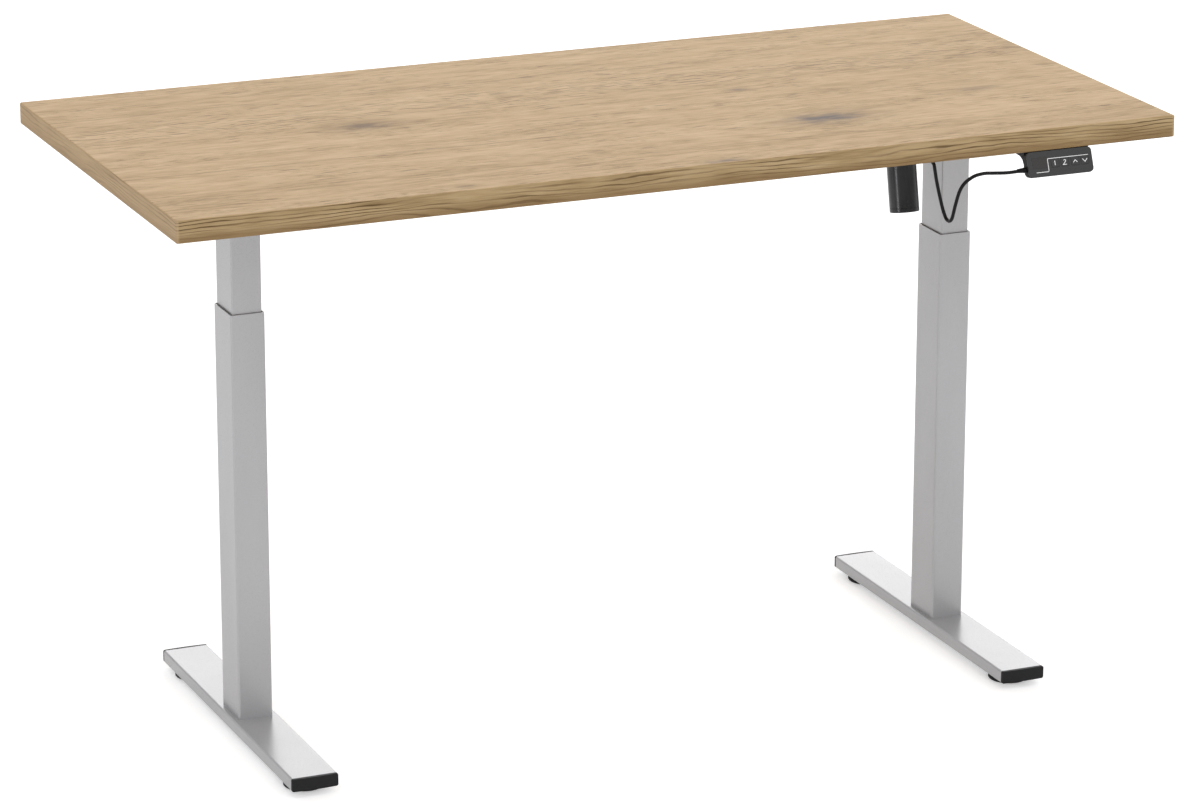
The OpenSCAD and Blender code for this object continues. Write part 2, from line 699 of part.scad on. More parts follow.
module handset_cord() {
    color(black) cord_tube(smooth(cord_route, cord_steps), cord_r, cord_sides);
}

clip_screw_y = -11;
relief_l = cord_exit[0] - cord_route[0][0];
module cord_strain_relief() {
    color(black) translate(cord_exit) rotate([0, -90, 0]) rotate_extrude()
        polygon([[0, -3], [3, -3], [3, 0], [4.6, 0], [4.6, 1.5], [cord_r + 0.4, relief_l], [0, relief_l]]);
}

// the plug stands in the control box's right end
module cord_plug() {
    back = cord_route[len(cord_route) - 1][0];
    color(black) {
        box_end(1) translate([-14, -6, -5]) cube([back - box_x - box_w / 2 + 8, 12, 10]);
        translate([back - 6, box_y, socket_z]) rotate([0, 90, 0]) cylinder(r1 = 4.5, r2 = cord_r + 0.4, h = 6);
    }
}

// saddle clips that hold the cord to the desktop's underside
module at_clips() for (i = clip_at) translate([cord_route[i][0], cord_route[i][1], under_z])
    rotate(atan(heading(cord_route, i)[1] / heading(cord_route, i)[0])) children();

module cord_clips() {
    color(black) at_clips() difference() {
        union() {
            translate([-5, -17, -3]) cube([10, 14, 2.9]);
            translate([-5, 0, -3.6]) rotate([0, 90, 0]) cylinder(r = 5.2, h = 10);
        }
        translate([-6, 0, -3.6]) rotate([0, 90, 0]) cylinder(r = cord_r + 0.9, h = 12);
        translate([-6, -20, -0.1]) cube([12, 40, 10]);
        translate([0, clip_screw_y, -5]) cylinder(r = 2.4, h = 6);
    }
}

foot(-1);  // left_foot
foot(1);  // right_foot
foot_caps();
outer_column(-1);  // left_outer_column
outer_column(1);  // right_outer_column
base_plates();
foot_bolts();
nut_tubes();
drive_nuts();
guide_collars();
glide_nuts();
desktop();
inner_column(-1);  // left_inner_column
inner_column(1);  // right_inner_column
slide_pads();
head_case(-1);  // left_head_case
head_case(1);  // right_head_case
head_covers();
spindle_bearings();
rails(-1);  // left_rails
rails(1);  // right_rails
rail_inserts();
side_arms();
frame_bolts();
wood_screws();
motor_gearbox_case();
motor_gearbox_cover();
motor_bracket();
motor_can();
motor_end_cap();
control_box();
control_box_lid();
box_sockets();
control_board();
handset_body();
handset_face();
handset_display();
handset_board();
handset_cord();
cord_strain_relief();
cord_plug();
cord_clips();
spindle(-1);  // left_spindle
spindle(1);  // right_spindle
spindle_gear(-1);  // left_spindle_gear
spindle_gear(1);  // right_spindle_gear
hex_shaft();
shaft_gears();
shaft_bushes();
worm_wheel();
motor_rotor();
key(0);  // key_memory_1
key(1);  // key_memory_2
key(2);  // key_up
key(3);  // key_down
glide(-1, -1);  // front_left_glide
glide(-1, 1);  // rear_left_glide
glide(1, -1);  // front_right_glide
glide(1, 1);  // rear_right_glide
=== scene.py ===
import math

import bmesh
import bpy
from mathutils import Matrix, Quaternion, Vector


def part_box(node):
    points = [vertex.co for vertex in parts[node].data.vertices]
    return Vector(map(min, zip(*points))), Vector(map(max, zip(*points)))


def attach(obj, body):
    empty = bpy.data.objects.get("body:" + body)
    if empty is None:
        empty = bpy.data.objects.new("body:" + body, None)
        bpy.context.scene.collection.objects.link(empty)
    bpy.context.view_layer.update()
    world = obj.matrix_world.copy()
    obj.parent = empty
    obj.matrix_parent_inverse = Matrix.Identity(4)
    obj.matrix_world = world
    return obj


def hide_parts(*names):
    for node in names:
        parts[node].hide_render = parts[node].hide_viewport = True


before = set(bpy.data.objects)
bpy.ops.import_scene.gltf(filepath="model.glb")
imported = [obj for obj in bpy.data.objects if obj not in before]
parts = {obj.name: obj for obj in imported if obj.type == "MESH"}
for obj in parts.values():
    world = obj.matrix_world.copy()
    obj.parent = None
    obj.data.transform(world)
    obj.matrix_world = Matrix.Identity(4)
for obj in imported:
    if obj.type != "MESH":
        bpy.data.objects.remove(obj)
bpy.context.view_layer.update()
scene = bpy.context.scene

# ---- the studio ----
# A long lens looks down on the desk from its front left. The floor is white, and so is the
# light, which is stronger overhead. One broad lamp stands in front and one behind, and a tall
# narrow one at the left draws a bright line down the motor.
lens_mm = 148.63
sensor_mm = 36
camera_place = Vector((-2.8831, -6.7880, 2.7333))
camera_turn = math.radians(-23.06)
camera_rise = math.radians(17.25)
camera_roll = math.radians(0.07)

camera = bpy.data.objects.new("camera", bpy.data.cameras.new("camera"))
scene.collection.objects.link(camera)
camera.data.lens = lens_mm
camera.data.sensor_width = sensor_mm
camera.data.clip_end = 200
towards_camera = Vector((
    math.sin(camera_turn) * math.cos(camera_rise),
    -math.cos(camera_turn) * math.cos(camera_rise),
    math.sin(camera_rise),
))
camera.location = camera_place
camera.rotation_mode = "QUATERNION"
camera.rotation_quaternion = (
    (-towards_camera).to_track_quat("-Z", "Y") @ Quaternion((0, 0, 1), camera_roll)
)
scene.camera = camera
scene.view_settings.view_transform = "Standard"


def lamp(name, place, aim, width, height, watts, lights_matt=True):
    """A soft rectangular lamp that points at aim and isn't seen itself. It lights matt
    surfaces as well as shiny ones, unless lights_matt is off."""
    light = bpy.data.lights.new(name, "AREA")
    light.shape = "RECTANGLE"
    light.size, light.size_y, light.energy = width, height, watts
    holder = bpy.data.objects.new(name, light)
    scene.collection.objects.link(holder)
    holder.location = place
    holder.rotation_mode = "QUATERNION"
    holder.rotation_quaternion = (Vector(aim) - Vector(place)).to_track_quat("-Z", "Y")
    holder.visible_camera = False
    holder.visible_diffuse = lights_matt


lamp("front_lamp", (1.0, -6.0, 4.5), (0, 0, 0.5), 4.0, 3.0, 49)
lamp("side_lamp", (-5.0, -1.9, 1.4), (0, 0, 0.5), 0.4, 3.0, 45, False)
lamp("rear_lamp", (2.6, 6.0, 2.2), (0, 0, 0.3), 4.6, 3.0, 78)

horizon_light, overhead_light = 0.52, 1.04
scene.world = bpy.data.worlds.new("studio")
scene.world.use_nodes = True
sky_tree = scene.world.node_tree
sky = sky_tree.nodes["Background"]
sky.inputs["Color"].default_value = (1, 1, 1, 1)
direction = sky_tree.nodes.new("ShaderNodeTexCoord")
direction_parts = sky_tree.nodes.new("ShaderNodeSeparateXYZ")
brightness = sky_tree.nodes.new("ShaderNodeMapRange")
brightness.inputs["To Min"].default_value = horizon_light
brightness.inputs["To Max"].default_value = overhead_light
sky_tree.links.new(direction.outputs["Generated"], direction_parts.inputs[0])
sky_tree.links.new(direction_parts.outputs["Z"], brightness.inputs["Value"])
sky_tree.links.new(brightness.outputs["Result"], sky.inputs["Strength"])


def srgb(red, green, blue):
    """A colour for a shader from the usual 0 to 255 values."""
    return tuple(
        (c / 255 + 0.055) ** 2.4 / 1.055**2.4 if c > 10 else c / 255 / 12.92
        for c in (red, green, blue)
    )


class Pattern:
    """A number or colour that varies over a surface. Arithmetic on it adds Math nodes."""

    def __init__(self, finish, socket):
        self.finish, self.socket = finish, socket

    def math(self, operation, *values):
        return self.finish.add("Math", {"operation": operation}, dict(enumerate(values)))

    def __add__(self, other):
        return self.math("ADD", self, other)

    def __mul__(self, other):
        return self.math("MULTIPLY", self, other)

    __radd__, __rmul__ = __add__, __mul__

    def __sub__(self, other):
        return self.math("SUBTRACT", self, other)

    def __rsub__(self, other):
        return self.math("SUBTRACT", other, self)

    def __truediv__(self, other):
        return self.math("DIVIDE", self, other)

    def __rtruediv__(self, other):
        return self.math("DIVIDE", other, self)

    def __pow__(self, other):
        return self.math("POWER", self, other)

    def __abs__(self):
        return self.math("ABSOLUTE", self)

    def off_centre(self):
        """How far its fraction is from a half: 0 halfway between whole numbers, 0.5 at them."""
        return abs(self.math("FRACT", self) - 0.5)

    def between(self, low, high):
        """0 below low, 1 above high, and smooth between them. low may be the larger."""
        return self.finish.add(
            "MapRange",
            {"interpolation_type": "SMOOTHSTEP"},
            {"Value": self, "From Min": low, "From Max": high},
        )


class Finish:
    """A surface finish: one material, and the patterns that feed its shader."""

    def __init__(self, name, colour, roughness, metallic=0.0, fixed=None):
        self.material = bpy.data.materials.new(name)
        self.material.use_nodes = True
        self.tree = self.material.node_tree
        self.shader = self.tree.nodes["Principled BSDF"]
        self.place = self.add("TexCoord", output="Object")
        self.feed({"Base Color": colour, "Roughness": roughness, "Metallic": metallic})
        self.feed(fixed or {})

    def put(self, socket, value):
        if isinstance(value, Pattern):
            self.tree.links.new(value.socket, socket)
        elif socket.type == "RGBA" and len(value) == 3:
            socket.default_value = (*value, 1)
        else:
            socket.default_value = value

    def feed(self, values):
        for name, value in values.items():
            self.put(self.shader.inputs[name], value)

    def add(self, kind, settings=None, values=None, output=0):
        """Adds a node: its settings first, such as a ramp's stops, and then its sockets."""
        node = self.tree.nodes.new("ShaderNode" + kind)
        for name, value in (settings or {}).items():
            if name != "stops":
                setattr(node, name, value)
                continue
            stops = node.color_ramp.elements
            stops.remove(stops[1])
            for i, (position, colour) in enumerate(value):
                stop = stops.new(position) if i else stops[0]
                stop.position, stop.color = position, (*colour, 1)
        for name, value in (values or {}).items():
            self.put(node.inputs[name], value)
        return Pattern(self, node.outputs[output])

    def axes(self):
        return [self.add("SeparateXYZ", None, {0: self.place}, i) for i in range(3)]

    def noise(self, per_metre, seed, detail=2.0, at=None):
        """Cloudy noise from 0 to 1, with so many blotches per metre along X, Y and Z."""
        place = self.add(
            "VectorMath", {"operation": "MULTIPLY"}, {0: at or self.place, 1: per_metre}
        )
        return self.add(
            "TexNoise",
            {"noise_dimensions": "4D"},
            {"Vector": place, "W": seed, "Scale": 1.0, "Detail": detail},
        )

    def blend(self, first, second, share):
        settings = {"data_type": "RGBA"}
        return self.add("Mix", settings, {0: share, 6: first, 7: second}, 2)

    def tones(self, value, *stops):
        return self.add("ValToRGB", {"stops": stops}, {0: value})

    def vary(self, tone, dark, light, roughness, roughening):
        """Lets a tone from 0 to 1 take the colour from dark to light, and add up to
        roughening to the roughness."""
        self.feed({
            "Base Color": self.tones(tone, (0.3, dark), (0.7, light)),
            "Roughness": tone * roughening + roughness,
        })

    def bump(self, height, depth):
        """Relief from a height of 0 to 1, depth metres deep."""
        values = {"Height": height, "Distance": depth, "Strength": 1.0}
        self.feed({"Normal": self.add("Bump", None, values)})


# The camera sees the floor brighter than it lights the desk, so that it stays white.
lit_floor, seen_floor = 0.17, 0.25
floor_half = 60
floor_finish = Finish(
    "pale_floor", (0.90, 0.90, 0.90), 0.9,
    fixed={"Emission Color": (1, 1, 1), "Specular IOR Level": 0.1},
)
floor_tone = floor_finish.noise((0.5, 0.5, 0.5), 3)
seen_directly = floor_finish.add("LightPath")
floor_finish.feed({
    "Base Color": floor_finish.tones(floor_tone, (0, (0.89,) * 3), (1, (0.91,) * 3)),
    "Emission Strength": seen_directly * seen_floor + lit_floor,
})

floor_shape = bmesh.new()
bmesh.ops.create_grid(floor_shape, x_segments=1, y_segments=1, size=floor_half)
floor = bpy.data.objects.new("floor", bpy.data.meshes.new("floor"))
floor_shape.to_mesh(floor.data)
floor_shape.free()
floor.data.materials.append(floor_finish.material)
scene.collection.objects.link(floor)


# ---- foot tubes ----
# Two flat steel tubes on the floor, powder coated silver grey. Each carries a column at its
# middle, and its ends are closed by plastic caps.
def paint(finish, *names):
    """Gives CAD nodes their finish. Their shapes stay as they are."""
    for name in names:
        slots = parts[name].data.materials
        slots.clear()
        slots.append(finish.material)


silver_paint = Finish("silver_powder_coat", srgb(181, 181, 182), 0.3, 0.4)
coat_tone = silver_paint.noise((9, 9, 3), 1, 3)
coat_grain = silver_paint.noise((1400, 1400, 1400), 2, 1)
silver_paint.feed({
    "Base Color": silver_paint.tones(
        coat_tone * 0.75 + coat_grain * 0.25,
        (0.3, srgb(176, 176, 178)),
        (0.7, srgb(184, 184, 186)),
    ),
    "Roughness": coat_grain * 0.10 + 0.24,
})
silver_paint.bump(coat_grain, 0.00003)
paint(silver_paint, "left_foot", "right_foot", "base_plates")


# ---- foot end caps ----
# Four black moulded caps, pushed into the foot tubes. Their outer faces bow outwards, and
# every edge is rounded.
merge_distance = 1e-6


def sharpen(shape, degrees):
    """Shades a bmesh smooth, with a crease at each edge that turns more than that."""
    for face in shape.faces:
        face.smooth = True
    for edge in shape.edges:
        turn = edge.calc_face_angle(math.pi) if len(edge.link_faces) == 2 else math.pi
        edge.smooth = turn < math.radians(degrees)


def built(shape, name, body, slot, *finishes, stands_for=()):
    """Makes a piece from a bmesh and fixes it to its CAD body."""
    piece = bpy.data.objects.new(name, bpy.data.meshes.new(name))
    shape.to_mesh(piece.data)
    shape.free()
    for finish in finishes:
        piece.data.materials.append(finish.material)
    scene.collection.objects.link(piece)
    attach(piece, body)
    if stands_for:
        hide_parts(*stands_for)
    return piece


def round_edges(shape, edges, width, steps):
    bmesh.ops.bevel(
        shape, geom=edges, offset=width, segments=steps, profile=0.5, affect="EDGES",
        clamp_overlap=True, material=-1,
    )


def shade_evenly(piece):
    """Lets the large flat faces set the shading, so that the rounded edges don't bend it."""
    piece.modifiers.new("even_shading", "WEIGHTED_NORMAL").keep_sharp = True


def eased(node, width, body, slot, finish, steps=2):
    """Copies a CAD node, joins its triangles and rounds its hard edges by width."""
    shape = bmesh.new()
    shape.from_mesh(parts[node].data)
    bmesh.ops.remove_doubles(shape, verts=shape.verts, dist=merge_distance)
    bmesh.ops.dissolve_limit(
        shape, angle_limit=math.radians(1), verts=shape.verts, edges=shape.edges
    )
    hard = [
        e for e in shape.edges
        if len(e.link_faces) == 2 and e.calc_face_angle() > math.radians(30)
    ]
    round_edges(shape, hard, width, steps)
    for face in shape.faces:
        face.material_index = 0
    sharpen(shape, 50)
    piece = built(shape, node + "_eased", body, slot, finish, stands_for=[node])
    shade_evenly(piece)
    return piece


black_mould = Finish(
    "black_plastic", srgb(35, 35, 36), 0.5, fixed={"Specular IOR Level": 0.15}
)
mould_grain = black_mould.noise((2200, 2200, 2200), 4, 1)
black_mould.vary(mould_grain, srgb(31, 31, 32), srgb(41, 41, 42), 0.36, 0.25)
black_mould.bump(mould_grain, 0.00005)
eased("foot_caps", 0.0012, "base", "black_plastic", black_mould, 3)

# ---- levelling glides ----
# Four screw-in feet with wide moulded discs. Each is a turned shape with a ribbed rim for the
# fingers, and it turns in a nut inside the foot tube.
def turned(outline, steps):
    """A bmesh turned about Z from an outline of radius and height pairs."""
    shape = bmesh.new()
    line = [shape.verts.new((radius, 0, height)) for radius, height in outline]
    edges = [shape.edges.new(pair) for pair in zip(line, line[1:])]
    bmesh.ops.spin(
        shape, geom=line + edges, cent=(0, 0, 0), axis=(0, 0, 1), angle=2 * math.pi,
        steps=steps, use_merge=True,
    )
    bmesh.ops.remove_doubles(shape, verts=shape.verts, dist=merge_distance)
    return shape


glide_radius = 0.032
rib_n, rib_depth = 24, 0.02
rim_start = 0.0305   # the ribs are on what lies further out than this
for side in ("left", "right"):
    for end in ("front", "rear"):
        glide = f"{end}_{side}_glide"
        low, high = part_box(glide)
        middle = (low + high) / 2
        disc = turned([
            (0, 0), (0.023, 0), (0.024, 0.0006), (0.0292, 0.0006), (0.0312, 0.0016),
            (glide_radius, 0.0030), (glide_radius, 0.0046), (0.0310, 0.0062), (0.0270, 0.0068),
            (0.0100, 0.0075), (0.0090, 0.0085), (0.0088, 0.0106), (0.0050, 0.0106),
            (0.0040, 0.0110), (0.0040, high.z - 0.0006), (0.0034, high.z), (0, high.z),
        ], 3 * rib_n)
        # the finger ribs: every third facet of the rim is pulled in a little
        for vert in disc.verts:
            if vert.co.xy.length > rim_start:
                wave = math.cos(math.atan2(vert.co.y, vert.co.x) * rib_n)
                vert.co.xy *= 1 - rib_depth * (0.5 + 0.5 * wave)
        bmesh.ops.recalc_face_normals(disc, faces=disc.faces)
        bmesh.ops.translate(disc, verts=disc.verts, vec=(middle.x, middle.y, 0))
        sharpen(disc, 40)
        built(disc, glide + "_disc", glide, "black_plastic", black_mould, stands_for=[glide])

zinc_plate = Finish("zinc_plated_steel", srgb(176, 180, 184), 0.3, 1.0)
plate_tone = zinc_plate.noise((60, 60, 60), 5, 4)
zinc_plate.vary(plate_tone, srgb(166, 170, 175), srgb(200, 202, 204), 0.16, 0.3)
paint(zinc_plate, "glide_nuts", "foot_bolts")

# ---- lifting columns ----
# A steel tube stands on each foot, and a slimmer one slides up and down inside it. Both are
# powder coated. Moulded collars and nylon pads keep them apart.
paint(
    silver_paint, "left_outer_column", "right_outer_column",
    "left_inner_column", "right_inner_column",
)
paint(black_mould, "guide_collars")

pale_nylon = Finish("white_nylon", srgb(222, 221, 212), 0.45)
nylon_tone = pale_nylon.noise((40, 40, 40), 6, 2)
pale_nylon.vary(nylon_tone, srgb(214, 212, 200), srgb(228, 227, 220), 0.36, 0.2)
paint(pale_nylon, "slide_pads", "drive_nuts", "worm_wheel")

# ---- spindles and drive line ----
# A threaded spindle turns in a nylon nut in each column. Mitre gears join both spindles to a
# hexagonal steel shaft that runs across the desk.
thread_pitch = 0.008
oiled_steel = Finish("bare_steel", srgb(150, 150, 150), 0.3, 1.0)
steel_tone = oiled_steel.noise((300, 300, 30), 7, 2)
oiled_steel.vary(steel_tone, srgb(128, 128, 130), srgb(176, 176, 176), 0.2, 0.2)
turned_steel = Finish("threaded_steel", srgb(150, 150, 150), 0.28, 1.0)
spindle_x, spindle_y, spindle_z = turned_steel.axes()
shaft_low, shaft_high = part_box("left_spindle")
spindle_axis_y = (shaft_low.y + shaft_high.y) / 2
column_x = abs(shaft_low.x + shaft_high.x) / 2
side_y = spindle_y - spindle_axis_y
turn_share = side_y.math("ARCTAN2", side_y, abs(spindle_x) - column_x) / (2 * math.pi)
thread = (spindle_z / thread_pitch + turn_share).off_centre() * 2
# painted shade: the thread's roots are painted dark against its light crests, as shade in the
# grooves
turned_steel.feed({
    "Base Color": turned_steel.tones(thread, (0.2, srgb(84, 84, 86)), (0.7, srgb(182, 182, 182))),
    "Roughness": 0.45 - thread * 0.2,
})
turned_steel.bump(thread.between(0.1, 0.8), 0.0008)
paint(turned_steel, "left_spindle", "right_spindle")
paint(
    oiled_steel, "hex_shaft", "left_spindle_gear", "right_spindle_gear", "shaft_gears",
    "motor_rotor",
)
paint(zinc_plate, "nut_tubes", "spindle_bearings")
paint(black_mould, "shaft_bushes")

# ---- column heads ----
# A die-cast housing on top of each inner tube holds the bearing and the mitre gears. Four
# countersunk screws hold its cover down.
die_cast = Finish("cast_aluminium", srgb(160, 161, 164), 0.45, 0.9)
cast_tone = die_cast.noise((700, 700, 700), 8, 3)
cast_flow = die_cast.noise((30, 30, 30), 9, 2)
die_cast.feed({
    "Base Color": die_cast.tones(
        cast_flow * 0.7 + cast_tone * 0.3, (0.3, srgb(146, 147, 150)), (0.7, srgb(176, 177, 180))
    ),
    "Roughness": cast_tone * 0.25 + 0.34,
})
die_cast.bump(cast_tone, 0.0001)
eased("left_head_case", 0.0008, "desk", "cast_aluminium", die_cast)
eased("right_head_case", 0.0008, "desk", "cast_aluminium", die_cast)
eased("head_covers", 0.0004, "desk", "cast_aluminium", die_cast)

# ---- rails, arms and screws ----
# Two pairs of steel tubes run between the heads, joined by a slimmer tube inside them, and a
# folded arm at each end takes the screws into the wood.
paint(silver_paint, "left_rails", "right_rails")
eased("side_arms", 0.0005, "desk", "silver_powder_coat", silver_paint)
paint(zinc_plate, "rail_inserts", "frame_bolts", "wood_screws")

# ---- desktop ----
# One board with a knotty oak surface, its corners and edges slightly rounded. The grain runs
# along it, and swings round the knots. Its edges show darker growth lines.
oak_knots = [  # place, half length and half width in metres, how dark, how grey
    (-0.361, 0.040, 0.062, 0.030, 0.70, 0.30),
    (0.303, -0.184, 0.086, 0.042, 0.88, 0.80),
    (0.253, 0.033, 0.022, 0.014, 0.55, 0.60),
    (0.054, -0.362, 0.042, 0.016, 0.55, 0.75),
    (0.598, -0.103, 0.070, 0.024, 0.22, 0.60),
    (-0.357, -0.352, 0.026, 0.010, 0.40, 0.20),
]
oak_pale = srgb(213, 183, 143)
oak_mean = srgb(198, 167, 125)
oak_deep = srgb(170, 139, 98)
oak_brown = srgb(116, 88, 58)
oak_grey = srgb(92, 92, 98)
dull = {"Specular IOR Level": 0.15}

oak_top = Finish("oak_surface", oak_mean, 0.55, fixed=dull)
along, across, _ = oak_top.axes()
swung = across
for knot_x, knot_y, half_length, half_width, *_ in oak_knots:
    sideways = (across - knot_y) / half_width
    lengthways = (along - knot_x) / (half_length * 1.6)
    nearness = 1 / (1 + sideways * sideways + lengthways**4)
    swung = swung - (across - knot_y) * nearness * 0.5
waver = oak_top.noise((1.3, 2.5, 1), 11, 2) * 0.030 + oak_top.noise((6, 12, 1), 12, 2) * 0.012
grain_place = oak_top.add("CombineXYZ", None, {0: along, 1: swung + waver, 2: 0.0})
bands = oak_top.noise((0.5, 9, 1), 13, 1, grain_place)
flames = oak_top.noise((6, 36, 1), 14, 3, grain_place)
streaks = oak_top.noise((16, 150, 1), 15, 3, grain_place)
fibres = oak_top.noise((30, 600, 1), 16, 2, grain_place)
tone = (
    0.5 + (bands - 0.5) * 0.6 + (flames - 0.5) * 0.9 + (streaks - 0.5) * 1.2
    + (fibres - 0.5) * 0.9
)
oak_colour = oak_top.tones(tone, (0.12, oak_deep), (0.5, oak_mean), (0.88, oak_pale))

# dark open pores: long faint dashes, and finer ones between them
pore_places = oak_top.noise((5, 22, 1), 17, 2, grain_place).between(0.38, 0.62)
dashes = oak_top.noise((24, 210, 1), 18, 2, grain_place).between(0.55, 0.68)
pores = oak_top.noise((50, 900, 1), 19, 1, grain_place).between(0.56, 0.70)
oak_colour = oak_top.blend(oak_colour, oak_brown, dashes * pore_places * 0.7)
oak_colour = oak_top.blend(oak_colour, oak_brown, pores * pore_places * 0.6)

# the cathedral figure, a band of short arched dashes behind the middle
figure_y = 0.127
figure_band = abs(across - figure_y).between(0.060, 0.028)
arches = (swung + waver * 1.5) * 115 + oak_top.noise((9, 12, 1), 20, 2, grain_place) * 6
arch_lines = arches.off_centre().between(0.26, 0.46)
arch_dashes = oak_top.noise((26, 90, 1), 21, 1, grain_place).between(0.42, 0.56)
oak_colour = oak_top.blend(
    oak_colour, oak_brown, figure_band * arch_lines * arch_dashes * 0.7
)

# fine joints between the staves: how far each is from the middle, where it ends, how dark
for joint_y, joint_end, dark in ((-0.130, 0.0, 0.5), (-0.275, 0.9, 0.3), (0.237, 0.9, 0.3)):
    joint = abs(across + waver * 0.1 - joint_y).between(0.0030, 0.0010)
    joint = joint * along.between(joint_end + 0.05, joint_end - 0.05)
    oak_colour = oak_top.blend(oak_colour, oak_brown, joint * dark * 0.7)

for number, (knot_x, knot_y, half_length, half_width, dark, grey) in enumerate(oak_knots):
    ragged = oak_top.noise((28, 75, 1), 22 + number, 4) * 1.5 - 0.75
    sideways = (across - knot_y) / half_width
    lengthways = (along - knot_x) / half_length
    squares = sideways * sideways + lengthways * lengthways
    reach = squares.math("SQRT", squares) + ragged
    shade = tuple(b + (g - b) * grey for b, g in zip(oak_brown, oak_grey))
    oak_colour = oak_top.blend(oak_colour, oak_brown, reach.between(1.9, 0.2) * dark * 0.5)
    oak_colour = oak_top.blend(oak_colour, shade, reach.between(0.85, 0.0) * dark)

oak_top.feed({"Base Color": oak_colour, "Roughness": 0.62 - fibres * 0.16})
oak_top.bump(fibres * 0.5 - (pores + dashes) * pore_places * 0.6 + streaks * 0.3, 0.0002)

oak_edge = Finish("oak_edge", srgb(158, 134, 100), 0.6, fixed=dull)
along, across, upwards = oak_edge.axes()
edge_low, edge_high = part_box("desktop")
height_share = (upwards - edge_low.z) / (edge_high.z - edge_low.z)
edge_place = oak_edge.add("CombineXYZ", None, {0: along + across, 1: 0.0, 2: upwards})
rings = (
    upwards * 150
    + oak_edge.noise((2.2, 1, 16), 31, 2, edge_place) * 8
    + oak_edge.noise((16, 1, 90), 32, 2, edge_place) * 1.2
)
ring_lines = rings.off_centre().between(0.28, 0.46)
ring_strength = oak_edge.noise((5, 1, 30), 33, 2, edge_place).between(0.34, 0.62)
edge_fibres = oak_edge.noise((20, 1, 500), 34, 2, edge_place)
edge_blotch = oak_edge.noise((7, 1, 60), 35, 3, edge_place)
edge_tone = 0.5 + (edge_blotch - 0.5) * 1.1 + (edge_fibres - 0.5) * 0.7
edge_colour = oak_edge.tones(
    edge_tone,
    (0.15, srgb(133, 107, 72)), (0.5, srgb(172, 146, 107)), (0.85, srgb(196, 171, 133)),
)
edge_colour = oak_edge.blend(
    edge_colour, srgb(130, 102, 66), height_share.between(0.5, 0.12) * 0.65
)
edge_colour = oak_edge.blend(
    edge_colour, srgb(80, 58, 33),
    ring_lines * ring_strength * (0.45 + height_share.between(0.2, 0.6) * 0.45),
)
half_long = edge_high.x
# painted light: the board's ends are painted lighter, for the light that falls on the left end
painted_lit_ends = abs(along).between(half_long - 0.006, half_long - 0.002)
edge_colour = oak_edge.blend(edge_colour, srgb(196, 168, 134), painted_lit_ends * 0.5)
oak_edge.feed({"Base Color": edge_colour, "Roughness": 0.66 - edge_fibres * 0.12})
oak_edge.bump(edge_fibres * 0.5 - ring_lines * ring_strength * 0.4, 0.0002)

backing = Finish("backing_sheet", srgb(186, 162, 132), 0.7)
backing_tone = backing.noise((3, 160, 1), 41, 3)
backing.vary(backing_tone, srgb(176, 152, 122), srgb(196, 172, 142), 0.8, -0.2)

corner_radius = 0.003
rim_radius = 0.0025
board = bmesh.new()
bmesh.ops.create_cube(board, size=1)
size = edge_high - edge_low
bmesh.ops.scale(board, verts=board.verts, vec=size)
bmesh.ops.translate(board, verts=board.verts, vec=(edge_low + edge_high) / 2)
upright = [e for e in board.edges if abs(e.verts[0].co.z - e.verts[1].co.z) > size.z / 2]
round_edges(board, upright, corner_radius, 8)
rim = [e for e in board.edges if abs(e.verts[0].co.z - e.verts[1].co.z) < size.z / 2]
round_edges(board, rim, rim_radius, 5)
for face in board.faces:
    faces_up, faces_down = face.normal.z > 0.8, face.normal.z < -0.999
    face.material_index = 0 if faces_up else 2 if faces_down else 1
sharpen(board, 50)
desktop = built(
    board, "oak_desktop", "desk", "oak_decor", oak_top, oak_edge, backing,
    stands_for=["desktop"],
)
shade_evenly(desktop)

# ---- motor ----
# A black tubular motor hangs down from its worm gearbox, which sits on the hexagonal shaft
# beside the right column. A folded bracket between the rails stops it from turning.
motor_black = Finish("black_painted_steel", srgb(40, 40, 42), 0.25, 0.3)
motor_tone = motor_black.noise((1500, 1500, 1500), 51, 1)
# vertical stripes of painted sheen: stretched noise paints lighter and darker bands into the
# black as painted reflections of the lamps, and also varies the roughness
painted_sheen_stripes = motor_black.noise((70, 70, 3), 57, 1)
motor_black.feed({
    "Base Color": motor_black.tones(
        painted_sheen_stripes * 0.7 + motor_tone * 0.3,
        (0.35, srgb(28, 28, 30)), (0.62, srgb(52, 52, 54)),
    ),
    "Roughness": painted_sheen_stripes * 0.16 + 0.12,
})
motor_black.bump(motor_tone, 0.00002)
eased("motor_can", 0.0006, "desk", "black_painted_steel", motor_black)
eased("motor_end_cap", 0.0004, "desk", "black_painted_steel", motor_black)
eased("motor_gearbox_case", 0.001, "desk", "black_plastic", black_mould)
eased("motor_gearbox_cover", 0.0004, "desk", "black_plastic", black_mould)
eased("motor_bracket", 0.0004, "desk", "silver_powder_coat", silver_paint)

# ---- control box ----
# The power supply, in a dark moulded case under the desktop. Its mains inlet and the motor's
# socket are at its left end, and the handset's plug stands in its right end.
grey_mould = Finish(
    "dark_grey_plastic", srgb(52, 53, 53), 0.5, fixed={"Specular IOR Level": 0.35}
)
grey_grain = grey_mould.noise((2600, 2600, 2600), 61, 1)
grey_mould.vary(grey_grain, srgb(54, 54, 54), srgb(64, 64, 64), 0.4, 0.2)
grey_mould.bump(grey_grain, 0.00004)
eased("control_box", 0.0012, "desk", "dark_grey_plastic", grey_mould, 3)
eased("control_box_lid", 0.0006, "desk", "dark_grey_plastic", grey_mould)
eased("box_sockets", 0.0003, "desk", "black_plastic", black_mould)

